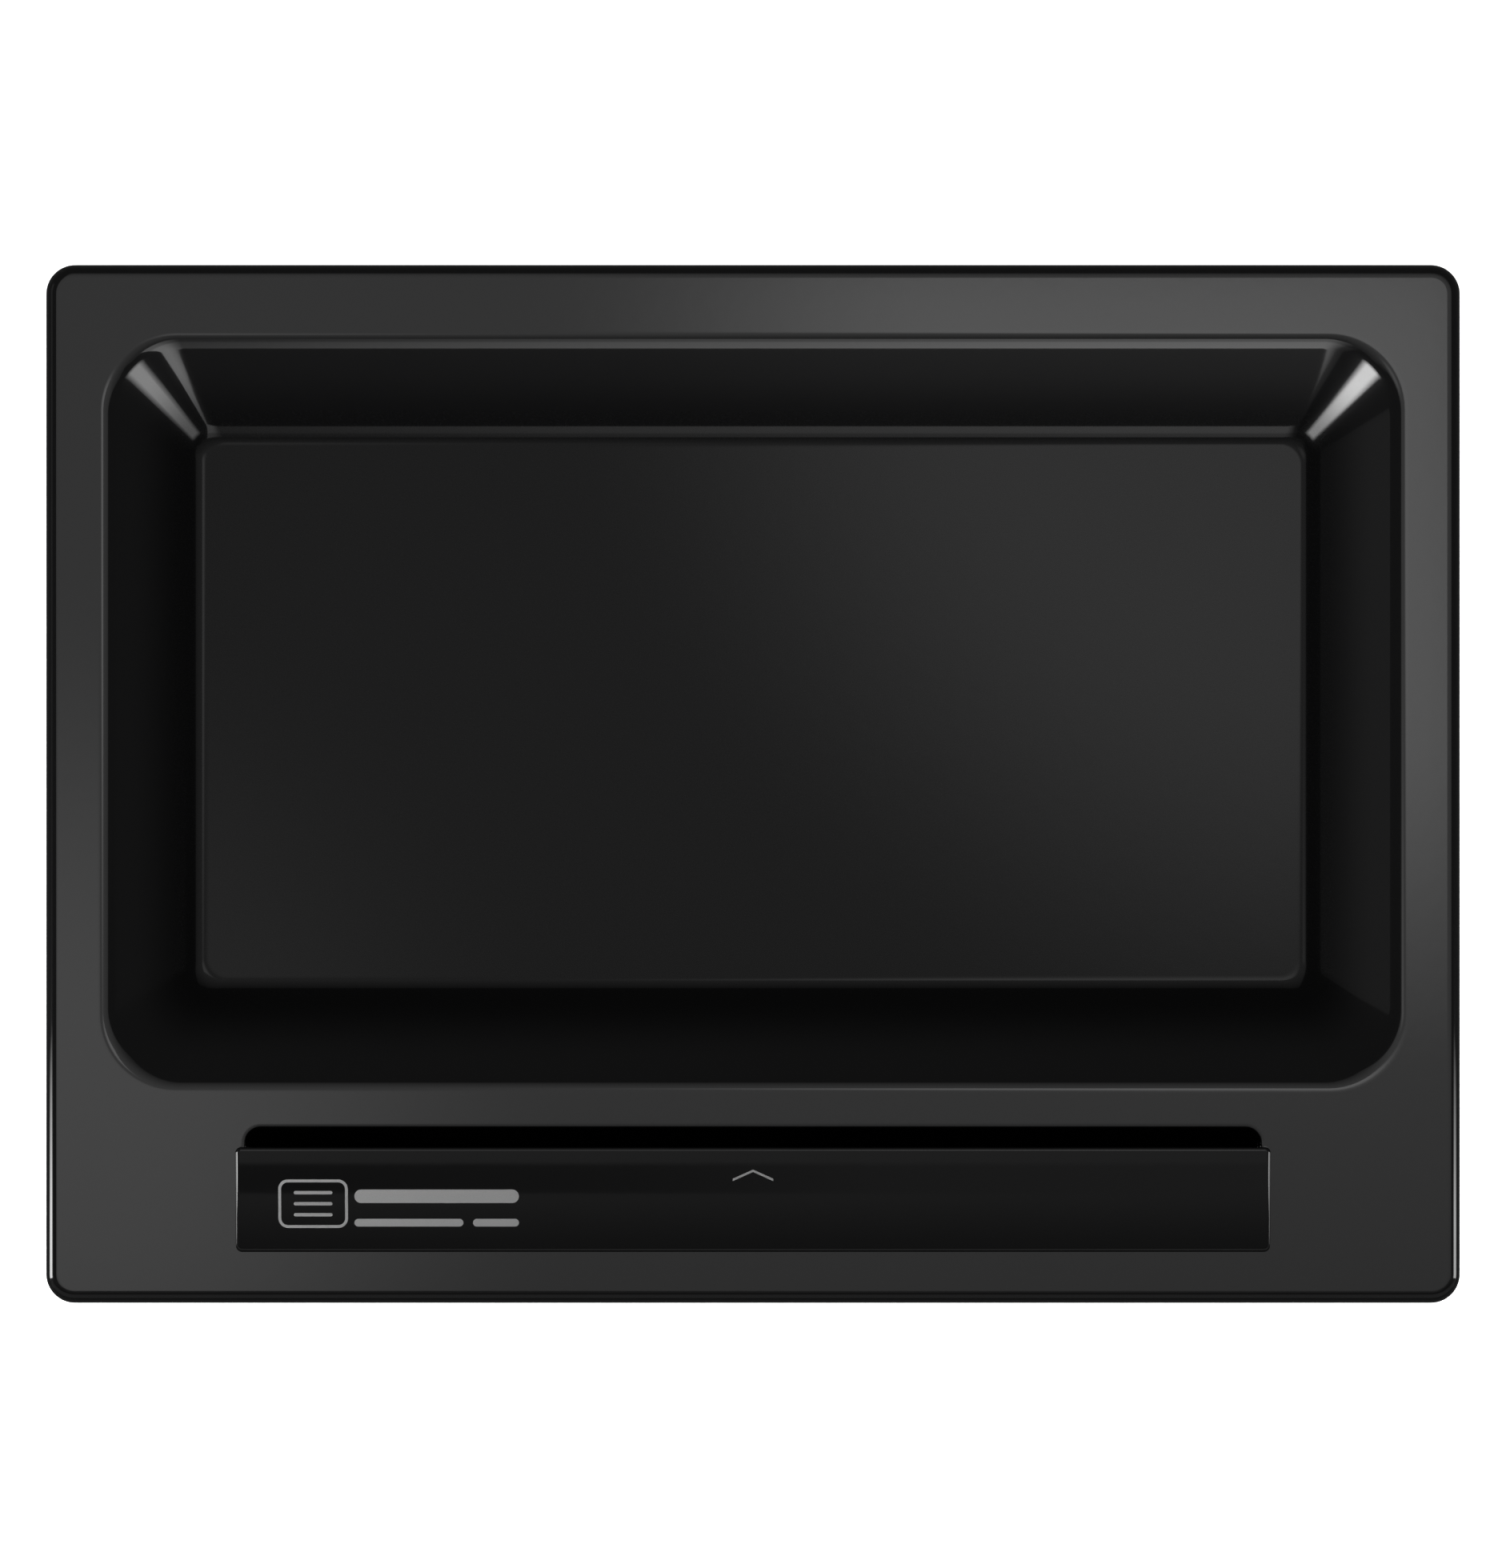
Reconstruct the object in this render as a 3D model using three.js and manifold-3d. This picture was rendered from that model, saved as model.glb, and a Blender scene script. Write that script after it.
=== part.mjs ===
// Removable oven-floor tray: an enamelled steel pan, the raised finger grip on its front flange, the trough
// that closes the finger opening from below, and the marks fired onto the grip.
// Millimetres, +Z up, +X to the right, +Y to the rear. The basin floor rests on Z = 0.

import * as THREE from 'three';
import { mergeVertices } from 'three/addons/utils/BufferGeometryUtils.js';
import loadManifold from 'manifold-3d';

const solids = await loadManifold();
solids.setup();

// ---------------------------------------------------------------------------------------------------------
// Driving sizes

const sheet = 1.2;            // enamelled steel, the same for all three pressings
const seamGap = 0.3;          // enamel-filled seam between two welded pressings

// Bends are measured on the outside of the sheet, so that a thicker sheet keeps the same radius inside.
const outer = { width: 586, depth: 430.4, corner: 12 };
const rim = { bend: sheet + 3.4, slope: 90, straight: 4.5 };

const basin = {
  depth: 25,
  sideMargin: 22.3,           // from the outside of the rim to the start of the wall
  rearMargin: 28,
  sideRun: 43.3,              // how far the wall reaches in plan, fillets included
  endRun: 46.4,
  mouthFillet: 12,
  floorFillet: 16,
  mouthCorner: 31.5,
  floorCorner: 8.5,
};

const grip = {
  fromFront: 21.5,            // from the outside of the rim to the foot of the grip
  fromSide: 80.7,             // from the outside of the rim to the end of the grip's top
  depth: 43.6,
  frontHeight: 3,
  rearHeight: 10.7,
  crown: 0.4,                 // how far the top bulges over a straight line from front to rear
  endBend: sheet + 0.5,
  frontBend: sheet + 0.5,
  rearBend: sheet + 0.1,
  draft: 4,                   // degrees that the turned-down edges lean outwards
  corner: 0.8,
  lip: 4,                     // height of the turned-down edge along the rear
  post: 2.5,                  // width of rear wall kept at each end
};

const slot = {
  width: 8.6,                 // open strip behind the grip
  toBasin: 14.4,              // flat land between the slot and the basin
  insideGrip: 1.2,            // how far each end of the opening stops short of the end of the grip's top
  corner: 7.3,
  underFront: 6.2,            // how far the opening stops short of the foot of the grip
};
const collar = { bend: sheet + 0.2, slope: 80, straight: 2.5 };

const trough = {
  clear: 5,                   // from the edge of the opening to the start of the trough wall
  tab: 6,                     // flat border that is welded under the flange
  depth: 15,
  sideRun: 10,
  frontRun: 10,
  rearRun: 17,
  mouthFillet: 3,
  floorFillet: 5,
  floorCorner: 5,
};

const ink = { thickness: 0.2, lift: 0.1 };
const arrow = { fromRear: 9.3, span: 16.8, rise: 3.8, stroke: 1 };
const symbol = {
  fromEnd: 16,
  fromFront: 10,
  width: 28.8,
  height: 20.2,
  corner: 4,
  stroke: 1.2,
  sideSteps: 5,
};
const symbolBars = { count: 3, length: 16, height: 1.4, pitch: 4.6 };
const title = { fromEnd: 47.5, fromFront: 20.4, width: 68, height: 5.6 };
const caption = { fromFront: 10.6, widths: [45, 19], height: 3.2, gap: 4 };

// ---------------------------------------------------------------------------------------------------------
// Places worked out from the driving sizes

const flangeTop = basin.depth + sheet;
const frontEdge = -outer.depth / 2;
const gripFront = frontEdge + grip.fromFront;
const gripRear = gripFront + grip.depth;
const gripHalfWidth = outer.width / 2 - grip.fromSide;
const opening = {
  halfWidth: gripHalfWidth - slot.insideGrip,
  front: gripFront + slot.underFront,
  rear: gripRear + slot.width,
  corner: slot.corner,
};
const flange = {
  halfWidth: outer.width / 2 - rim.bend,
  front: frontEdge + rim.bend,
  rear: -frontEdge - rim.bend,
  corner: outer.corner - rim.bend,
};
const basinPocket = {
  halfWidth: outer.width / 2 - basin.sideMargin,
  front: opening.rear + slot.toBasin,
  rear: -frontEdge - basin.rearMargin,
  runs: { side: basin.sideRun, front: basin.endRun, rear: basin.endRun },
  ...basin,
};
const troughPocket = {
  ...trough,
  halfWidth: opening.halfWidth + trough.clear,
  front: opening.front - trough.clear,
  rear: opening.rear + trough.clear,
  mouthCorner: opening.corner + trough.clear,
  runs: { side: trough.sideRun, front: trough.frontRun, rear: trough.rearRun },
};

// ---------------------------------------------------------------------------------------------------------
// Loops: rounded rectangles seen from above, kept as their right half and mirrored when they are joined

const cornerSteps = 10;
const bendSteps = 8;
const { clamp, lerp, degToRad } = THREE.MathUtils;

// The right half of a loop, front to rear. Each corner eases from the height of one side to the next.
function halfLoop({ halfWidth, front, rear, corner }, z = { front: 0, side: 0, rear: 0 }, sideSteps = 1) {
  const points = [];
  for (let i = 0; i <= cornerSteps; i++) {
    const turn = i / cornerSteps;
    const angle = (turn - 1) * Math.PI / 2;
    const x = halfWidth - corner + corner * Math.cos(angle);
    const y = front + corner + corner * Math.sin(angle);
    points.push(new THREE.Vector3(x, y, lerp(z.front, z.side, turn)));
  }
  for (let i = 1; i < sideSteps; i++) {
    points.push(new THREE.Vector3(halfWidth, lerp(front + corner, rear - corner, i / sideSteps), z.side));
  }
  for (let i = 0; i <= cornerSteps; i++) {
    const turn = i / cornerSteps;
    const angle = turn * Math.PI / 2;
    const x = halfWidth - corner + corner * Math.cos(angle);
    const y = rear - corner + corner * Math.sin(angle);
    points.push(new THREE.Vector3(x, y, lerp(z.side, z.rear, turn)));
  }
  return points;
}

const mirrored = (point) => new THREE.Vector3(-point.x, point.y, point.z);
const wholeLoop = (half) => [...half, ...half.map(mirrored).reverse()];

// ---------------------------------------------------------------------------------------------------------
// Skins: lists of triangle corners, facing up when they run from an outer loop to an inner one

// Joins each loop to the next.
function skin(halves) {
  const corners = [];
  const loops = halves.map(wholeLoop);
  for (let k = 1; k < loops.length; k++) {
    const from = loops[k - 1];
    const to = loops[k];
    for (let i = 0; i < from.length; i++) {
      const next = (i + 1) % from.length;
      corners.push(from[i], from[next], to[next], from[i], to[next], to[i]);
    }
  }
  return corners;
}

// Fills a loop by joining its right half to its left half.
function cap(half) {
  const corners = [];
  for (let i = 1; i < half.length; i++) {
    const [a, b] = [half[i - 1], half[i]];
    corners.push(a, b, mirrored(b), a, mirrored(b), mirrored(a));
  }
  return corners;
}

// Fills the flat space inside one loop and outside the others, which all lie at the same height.
function flatFace(outline, holes) {
  const loops = [outline, ...holes].map(wholeLoop);
  const [contour, ...inner] = loops.map((loop) => loop.map((p) => new THREE.Vector2(p.x, p.y)));
  const points = loops.flat();
  return THREE.ShapeUtils.triangulateShape(contour, inner).flat().map((i) => points[i]);
}

const flipped = (corners) => corners.slice().reverse();

function closedGeometry(corners) {
  const geometry = new THREE.BufferGeometry().setFromPoints(corners);
  geometry.computeVertexNormals();
  return geometry;
}

// ---------------------------------------------------------------------------------------------------------
// Sections of pressed sheet

// A drawn wall from flange to floor: a fillet, a straight slope and a second fillet.
function wallSection(run, depth, mouthFillet, floorFillet) {
  const excess = 2 * (mouthFillet + floorFillet) - depth;
  const slope = 2 * Math.atan(depth / (run + Math.sqrt(run * run - excess * depth)));
  const section = [];
  for (let i = 0; i <= bendSteps; i++) {
    const angle = slope * i / bendSteps;
    section.push({ inset: mouthFillet * Math.sin(angle), drop: mouthFillet * (1 - Math.cos(angle)), angle });
  }
  for (let i = 0; i <= bendSteps; i++) {
    const angle = slope * (1 - i / bendSteps);
    const inset = run - floorFillet * Math.sin(angle);
    section.push({ inset, drop: depth - floorFillet * (1 - Math.cos(angle)), angle });
  }
  return section;
}

// An edge turned down through a bend and a short straight.
function edgeSection({ bend, slope, straight }) {
  const section = [];
  for (let i = 0; i <= bendSteps; i++) {
    const angle = degToRad(slope) * i / bendSteps;
    section.push({ inset: bend * Math.sin(angle), drop: bend * (1 - Math.cos(angle)), angle });
  }
  const { inset, drop, angle } = section.at(-1);
  section.push({ inset: inset + straight * Math.cos(angle), drop: drop + straight * Math.sin(angle), angle });
  return section;
}

// A point of a section moved down through the sheet, square to it.
function through({ inset, drop, angle }, below) {
  return { inset: inset - below * Math.sin(angle), drop: drop + below * Math.cos(angle) };
}

// The loops of a drawn pocket, mouth to floor, on the surface that lies `below` its upper one.
function pocketLoops(pocket, below) {
  const walls = {};
  for (const [side, run] of Object.entries(pocket.runs)) {
    walls[side] = wallSection(run, pocket.depth, pocket.mouthFillet, pocket.floorFillet);
  }
  return walls.side.map((place, i) => {
    const at = {};
    for (const side of Object.keys(walls)) {
      at[side] = through(walls[side][i], below);
    }
    const corner = lerp(pocket.mouthCorner, pocket.floorCorner, place.inset / pocket.runs.side);
    const plan = {
      halfWidth: pocket.halfWidth - at.side.inset,
      front: pocket.front + at.front.inset,
      rear: pocket.rear - at.rear.inset,
      corner: corner + below * Math.sin(place.angle),
    };
    return halfLoop(plan, { front: -at.front.drop, side: -at.side.drop, rear: -at.rear.drop });
  });
}

// The loops of an edge turned down all round an outline, inwards (1) or outwards (-1).
function edgeLoops(outline, edge, direction, below) {
  return edgeSection(edge).map((place) => {
    const { inset, drop } = through(place, below);
    const shift = direction * inset;
    const z = { front: -drop, side: -drop, rear: -drop };
    return halfLoop(grown(outline, -shift), z);
  });
}

function grown({ halfWidth, front, rear, corner }, by) {
  return { halfWidth: halfWidth + by, front: front - by, rear: rear + by, corner: corner + by };
}

// ---------------------------------------------------------------------------------------------------------
// The pan: one stamping, with the flange top at local Z = 0

function panGeometry() {
  const bowl = pocketLoops(basinPocket, 0);
  const bowlUnder = pocketLoops(basinPocket, sheet);
  const lip = edgeLoops(opening, collar, 1, 0);
  const lipUnder = edgeLoops(opening, collar, 1, sheet);
  const skirt = edgeLoops(flange, rim, -1, 0);
  const skirtUnder = edgeLoops(flange, rim, -1, sheet);
  return closedGeometry([
    ...flatFace(skirt[0], [bowl[0], lip[0]]),
    ...flipped(flatFace(skirtUnder[0], [bowlUnder[0], lipUnder[0]])),
    ...skin([...skirtUnder, ...skirt.reverse()]),
    ...skin([...lip, ...lipUnder.reverse()]),
    ...skin(bowl),
    ...cap(bowl.at(-1)),
    ...skin(bowlUnder.toReversed()),
    ...flipped(cap(bowlUnder.at(-1))),
  ]);
}

// ---------------------------------------------------------------------------------------------------------
// The finger trough: a drawn pocket with a flat border, with the border top at local Z = 0

function troughGeometry() {
  const border = grown(opening, trough.clear + trough.tab);
  const edgeTop = halfLoop(border);
  const edgeUnder = halfLoop(border, { front: -sheet, side: -sheet, rear: -sheet });
  const pocket = pocketLoops(troughPocket, 0);
  const pocketUnder = pocketLoops(troughPocket, sheet);
  return closedGeometry([
    ...skin([edgeUnder, edgeTop, ...pocket]),
    ...cap(pocket.at(-1)),
    ...skin([...pocketUnder.toReversed(), edgeUnder]),
    ...flipped(cap(pocketUnder.at(-1))),
  ]);
}

// ---------------------------------------------------------------------------------------------------------
// The grip: a low wedge, highest at the rear, with its foot at local Z = 0 and its front foot at local Y = 0

const gripSideSteps = 8;
const gripRise = grip.rearHeight - grip.frontHeight;
const frontLean = Math.atan((gripRise + 4 * grip.crown) / grip.depth);
const rearLean = Math.atan((gripRise - 4 * grip.crown) / grip.depth);
const steepest = degToRad(90 - grip.draft);
const gripTop = {
  halfWidth: gripHalfWidth,
  front: grip.frontBend * (Math.sin(steepest) - Math.sin(frontLean)),
  rear: grip.depth - grip.rearBend * (Math.sin(steepest) + Math.sin(rearLean)),
  corner: grip.corner,
};

// Height of the grip's top above its foot, from front to rear.
function crownHeight(y) {
  const along = clamp(y, gripTop.front, gripTop.rear) / grip.depth;
  return grip.frontHeight + gripRise * along + 4 * grip.crown * along * (1 - along);
}

// A bent edge at a share of its turn, from the lean of the top to the draft of the turned-down edge.
function bendPlace(radius, start, turn, below) {
  const angle = lerp(start, steepest, turn);
  const inset = radius * (Math.sin(angle) - Math.sin(start));
  const drop = radius * (Math.cos(start) - Math.cos(angle));
  return through({ inset, drop, angle }, below);
}

function gripBendLoop(turn, below) {
  const front = bendPlace(grip.frontBend, frontLean, turn, below);
  const side = bendPlace(grip.endBend, 0, turn, below);
  const rear = bendPlace(grip.rearBend, -rearLean, turn, below);
  const plan = {
    halfWidth: gripTop.halfWidth + side.inset,
    front: gripTop.front - front.inset,
    rear: gripTop.rear + rear.inset,
    corner: gripTop.corner + side.inset + below,
  };
  const z = { front: -front.drop, side: -side.drop, rear: -rear.drop };
  const loop = halfLoop(plan, z, gripSideSteps);
  loop.forEach((point) => { point.z += crownHeight(point.y); });
  return loop;
}

// The foot of the turned-down edge: each point of the bent loop run down to Z = 0 along the draft.
function gripFootLoop(bent, top) {
  return bent.map((point, i) => {
    const outwards = point.clone().sub(top[i]).setZ(0).normalize();
    return point.clone().addScaledVector(outwards, point.z * Math.tan(degToRad(grip.draft))).setZ(0);
  });
}

// One surface of the grip, from its top to its foot.
function gripLoops(below) {
  const loops = [];
  for (let i = 0; i <= bendSteps; i++) {
    loops.push(gripBendLoop(i / bendSteps, below));
  }
  loops.push(gripFootLoop(loops.at(-1), gripBendLoop(0, 0)));
  return loops;
}

function closedGripGeometry() {
  const outside = gripLoops(0);
  const inside = gripLoops(sheet);
  return closedGeometry([
    ...cap(outside[0]),
    ...flipped(cap(inside[0])),
    ...skin([...inside, ...outside.toReversed()]),
  ]);
}

function solidOf(geometry) {
  const bare = new THREE.BufferGeometry().setAttribute('position', geometry.attributes.position);
  const welded = mergeVertices(bare.setIndex(geometry.index), 1e-4);
  return new solids.Manifold(new solids.Mesh({
    numProp: 3,
    vertProperties: welded.attributes.position.array,
    triVerts: new Uint32Array(welded.index.array),
  }));
}

function geometryOf(solid) {
  const mesh = solid.getMesh();
  const geometry = new THREE.BufferGeometry();
  geometry.setAttribute('position', new THREE.BufferAttribute(mesh.vertProperties, mesh.numProp));
  geometry.setIndex(new THREE.BufferAttribute(mesh.triVerts, 1));
  const facets = geometry.toNonIndexed();
  facets.computeVertexNormals();
  return facets;
}

// The closed wedge with its rear wall cut away under the lip, so that fingers can reach in from the slot.
function gripGeometry() {
  const openWidth = 2 * (gripHalfWidth - grip.post);
  const openHeight = grip.rearHeight - grip.lip;
  const past = 2 * sheet;
  const cutter = new THREE.BoxGeometry(openWidth, 2 * past, openHeight + past);
  cutter.translate(0, grip.depth, (openHeight - past) / 2);
  return geometryOf(solidOf(closedGripGeometry()).subtract(solidOf(cutter)));
}

// ---------------------------------------------------------------------------------------------------------
// Marks fired onto the grip: thin plates that follow its crown

function fired(shape) {
  const plate = { depth: ink.thickness, bevelEnabled: false, curveSegments: 6 };
  const geometry = new THREE.ExtrudeGeometry(shape, plate);
  const places = geometry.attributes.position;
  for (let i = 0; i < places.count; i++) {
    places.setZ(i, places.getZ(i) + crownHeight(places.getY(i)) + ink.lift);
  }
  geometry.computeVertexNormals();
  return geometry;
}

// A bar with nearly half-round ends.
function bar(x, y, width, height) {
  const round = 0.49 * height;
  const shape = new THREE.Shape();
  shape.absarc(x + width - round, y + round, round, -Math.PI / 2, 0);
  shape.absarc(x + width - round, y + height - round, round, 0, Math.PI / 2);
  shape.absarc(x + round, y + height - round, round, Math.PI / 2, Math.PI);
  shape.absarc(x + round, y + round, round, Math.PI, 1.5 * Math.PI);
  return fired(shape);
}

// The arrow points to the slot behind the grip.
function arrowGeometry() {
  const tip = grip.depth - arrow.fromRear;
  const foot = tip - arrow.rise;
  const half = arrow.span / 2;
  const shape = new THREE.Shape([
    new THREE.Vector2(0, tip),
    new THREE.Vector2(-half, foot),
    new THREE.Vector2(-half, foot - arrow.stroke),
    new THREE.Vector2(0, tip - arrow.stroke),
    new THREE.Vector2(half, foot - arrow.stroke),
    new THREE.Vector2(half, foot),
  ]);
  return fired(shape);
}

// A loop of the symbol's frame, laid over the crown. The frame is made about X = 0.
function frameLoop(inset, lift) {
  const outline = {
    halfWidth: symbol.width / 2,
    front: symbol.fromFront,
    rear: symbol.fromFront + symbol.height,
    corner: symbol.corner,
  };
  const loop = halfLoop(grown(outline, -inset), { front: 0, side: 0, rear: 0 }, symbol.sideSteps);
  loop.forEach((point) => { point.z = crownHeight(point.y) + lift; });
  return loop;
}

function symbolFrameGeometry() {
  const top = ink.lift + ink.thickness;
  const outerTop = frameLoop(0, top);
  const innerTop = frameLoop(symbol.stroke, top);
  const innerUnder = frameLoop(symbol.stroke, ink.lift);
  const outerUnder = frameLoop(0, ink.lift);
  return closedGeometry(skin([outerTop, innerTop, innerUnder, outerUnder, outerTop]));
}

function symbolBarGeometry(index) {
  const { count, length, height, pitch } = symbolBars;
  const left = symbol.fromEnd - gripHalfWidth + (symbol.width - length) / 2;
  const middle = symbol.fromFront + symbol.height / 2 + (index - (count - 1) / 2) * pitch;
  return bar(left, middle - height / 2, length, height);
}

function titleGeometry() {
  return bar(title.fromEnd - gripHalfWidth, title.fromFront, title.width, title.height);
}

function captionGeometry(index) {
  const { widths, gap, fromFront, height } = caption;
  const before = widths.slice(0, index).reduce((sum, width) => sum + width + gap, 0);
  return bar(title.fromEnd - gripHalfWidth + before, fromFront, widths[index], height);
}

// ---------------------------------------------------------------------------------------------------------
// Materials and the scene graph

const blackEnamel = new THREE.MeshStandardMaterial({ color: 0x0b0b0c, roughness: 0.14 });
const greyInk = new THREE.MeshStandardMaterial({ color: 0xa8a8a8, roughness: 0.55 });

function named(name, geometry, material) {
  const mesh = new THREE.Mesh(geometry, material);
  mesh.name = name;
  return mesh;
}

const onGrip = new THREE.Group();
onGrip.position.set(0, gripFront, seamGap);
onGrip.add(
  named('grip_plate', gripGeometry(), blackEnamel),
  named('grip_arrow_mark', arrowGeometry(), greyInk),
  named('title_bar_mark', titleGeometry(), greyInk),
);
const symbolFrame = named('symbol_frame_mark', symbolFrameGeometry(), greyInk);
symbolFrame.position.x = symbol.fromEnd + symbol.width / 2 - gripHalfWidth;
onGrip.add(symbolFrame);
for (let i = 0; i < symbolBars.count; i++) {
  onGrip.add(named(`symbol_bar_mark_${i + 1}`, symbolBarGeometry(i), greyInk));
}
for (let i = 0; i < caption.widths.length; i++) {
  onGrip.add(named(`caption_bar_mark_${i + 1}`, captionGeometry(i), greyInk));
}

const underFlange = new THREE.Group();
underFlange.position.z = -sheet - seamGap;
underFlange.add(named('finger_trough', troughGeometry(), blackEnamel));

const tray = new THREE.Group();
tray.position.z = flangeTop;
tray.add(named('tray_pan', panGeometry(), blackEnamel), underFlange, onGrip);

export default tray;
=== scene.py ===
# %% [markdown]
# # A removable oven tray
#
# The object is the enamelled steel tray that covers an oven floor and lifts out for washing. It is three
# pressings of thin sheet, welded together and then dipped in black enamel: a pan with one wide basin, a
# raised grip on its front flange, and a trough that closes the finger slot behind the grip from below.
# Grey marks are fired onto the grip.
#
# The CAD model is the fixed frame, and everything here is placed from it. Its solids could be kept and only
# given a material, but they are faceted, and glossy black shows every facet: its whole look is the
# reflections that run along its fillets. So each pressing is made again here with smooth, finer bends.

# %% Load the frame
import math

import bmesh
import bpy
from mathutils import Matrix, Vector


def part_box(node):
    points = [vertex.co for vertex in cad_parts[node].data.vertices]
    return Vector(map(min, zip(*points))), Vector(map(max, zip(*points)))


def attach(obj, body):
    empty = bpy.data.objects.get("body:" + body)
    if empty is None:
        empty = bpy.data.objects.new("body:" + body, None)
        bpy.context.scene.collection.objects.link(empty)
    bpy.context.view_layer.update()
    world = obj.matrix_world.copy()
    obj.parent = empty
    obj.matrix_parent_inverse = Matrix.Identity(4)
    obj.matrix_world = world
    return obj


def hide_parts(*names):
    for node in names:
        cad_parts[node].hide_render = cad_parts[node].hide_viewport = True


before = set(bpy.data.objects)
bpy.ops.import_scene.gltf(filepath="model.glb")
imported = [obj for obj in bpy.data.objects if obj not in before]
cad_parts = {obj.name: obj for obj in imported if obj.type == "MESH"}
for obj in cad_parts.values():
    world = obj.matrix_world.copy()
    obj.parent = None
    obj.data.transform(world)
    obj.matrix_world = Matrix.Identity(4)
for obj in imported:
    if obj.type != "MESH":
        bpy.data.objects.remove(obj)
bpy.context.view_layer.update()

MM = 0.001
pan_low, pan_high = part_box("tray_pan")
grip_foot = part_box("grip_plate")[0][2]
trough_low, trough_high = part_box("finger_trough")
flange_top = pan_high[2]
print("pan", [round((high - low) / MM, 1) for low, high in zip(pan_low, pan_high)], "mm")

# %% [markdown]
# ## The camera
#
# The tray is seen from straight above. A camera close by would show the basin's walls unevenly, because its
# view fans out, and an orthographic one would flatten every reflection to one direction. A long lens a few
# metres up is what a photographer uses: nearly parallel, with a little life left in the reflections.

# %% Camera
VIEW_WIDTH = 0.6237
CAMERA_HEIGHT = 4.6
SENSOR = 36

camera = bpy.data.objects.new("camera", bpy.data.cameras.new("camera"))
camera.data.sensor_fit = "HORIZONTAL"
camera.data.sensor_width = SENSOR
camera.data.lens = SENSOR * CAMERA_HEIGHT / VIEW_WIDTH
camera.data.clip_end = 100
camera.location = (0, 0, flange_top + CAMERA_HEIGHT)
bpy.context.collection.objects.link(camera)
bpy.context.scene.camera = camera
print("lens", round(camera.data.lens), "mm")

# %% [markdown]
# ## Pressed sheet from wire loops
#
# Each pressing is a nest of rounded rectangles: outline, fold, floor. A rectangle is a one-face grid with its
# four corners bevelled round, and only its edges are kept. Bridging two such loops makes the wall between
# them. A fold starts as a sharp edge, and a bevel then rolls it to its radius, as the press does.
# The other way, moving vertices of a dense grid, gives walls that are never quite flat.

# %% Loops, walls and folds
CORNER_SEGMENTS = 16
FOLD_SEGMENTS = 12
SUPPORT = 1.0 * MM      # a narrow flat strip beside each fold keeps its shading off the wide flat faces
CUT_EDGE_SEGMENTS = 3
CUT_EDGE_ANGLE = math.radians(50)    # a cut edge is sharper than this, and the steps of a rolled fold are not


def add_rectangle(bm, half_size, centre):
    """Adds a level rectangle, this far from its centre to its sides, and returns its corners."""
    corners = bmesh.ops.create_grid(bm, x_segments=1, y_segments=1, size=1)["verts"]
    bmesh.ops.scale(bm, vec=(*half_size, 1), verts=corners)
    bmesh.ops.translate(bm, vec=centre, verts=corners)
    return corners


def add_rounded_face(bm, half_size, centre, corner, segments):
    """Adds a level face with round corners."""
    rounded = bmesh.ops.bevel(
        bm, geom=add_rectangle(bm, half_size, centre), offset=corner, affect="VERTICES",
        segments=segments, profile=0.5, material=-1, clamp_overlap=False,
    )
    return rounded["verts"][0].link_faces[0]


def add_loop(bm, plan, height):
    """Adds the edges of a level rounded rectangle. plan is half width, front, rear and corner radius."""
    half_width, front, rear, corner = plan
    half_size = (half_width, (rear - front) / 2)
    face = add_rounded_face(bm, half_size, (0, (front + rear) / 2, height), corner, CORNER_SEGMENTS)
    edges = list(face.edges)
    bmesh.ops.delete(bm, geom=[face], context="FACES_ONLY")
    return edges


def grow(plan, by):
    """The same plan, larger by the same margin all round."""
    half_width, front, rear, corner = plan
    return half_width + by, front - by, rear + by, corner + by


def join_loops(bm, loops):
    """Bridges each loop to the next one."""
    for outer, inner in zip(loops, loops[1:]):
        bmesh.ops.bridge_loops(bm, edges=outer + inner)


def roll_fold(bm, edges, reach, segments=FOLD_SEGMENTS):
    """Bevels a sharp fold. reach is how far the bend eats into the faces on each side."""
    bmesh.ops.bevel(
        bm, geom=edges, offset=reach, offset_type="OFFSET", affect="EDGES",
        segments=segments, profile=0.5, material=-1, clamp_overlap=False,
    )


def face_up(bm):
    """Points the faces of an open sheet so that its level ones look up."""
    bmesh.ops.recalc_face_normals(bm, faces=bm.faces)
    if sum(face.normal.z * face.calc_area() for face in bm.faces) < 0:
        bmesh.ops.reverse_faces(bm, faces=bm.faces)


def link_mesh(name, bm):
    """Makes a finished bmesh an object of the scene."""
    mesh = bpy.data.meshes.new(name)
    bm.to_mesh(mesh)
    bm.free()
    piece = bpy.data.objects.new(name, mesh)
    bpy.context.collection.objects.link(piece)
    return piece


def make_sheet_piece(name, bm, thickness, cut_edge):
    """Turns the outer skin of a pressing into a piece with its thickness and softened cut edges."""
    piece = link_mesh(name, bm)
    piece.data.shade_smooth()
    wall = piece.modifiers.new("sheet thickness", "SOLIDIFY")
    wall.thickness = thickness
    wall.offset = -1
    wall.use_even_offset = True
    rounding = piece.modifiers.new("enamelled edge", "BEVEL")
    rounding.width = cut_edge
    rounding.segments = CUT_EDGE_SEGMENTS
    rounding.limit_method = "ANGLE"
    rounding.angle_limit = CUT_EDGE_ANGLE
    print(name, "has", len(piece.data.polygons), "faces before its thickness")
    return piece


# %% [markdown]
# ## The shape of a drawn wall
#
# A wall is a fillet at the mouth, a straight slope and a fillet at the floor. The press drawing gives the
# depth, the run in plan and the two radii, and the slope follows from them. The front and rear walls run out
# further than the side walls, so one bevel radius can't serve a fold that goes all round. Instead level loops
# are laid down the fillets, each as far in on every side as that side's own wall is at that depth.

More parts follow.
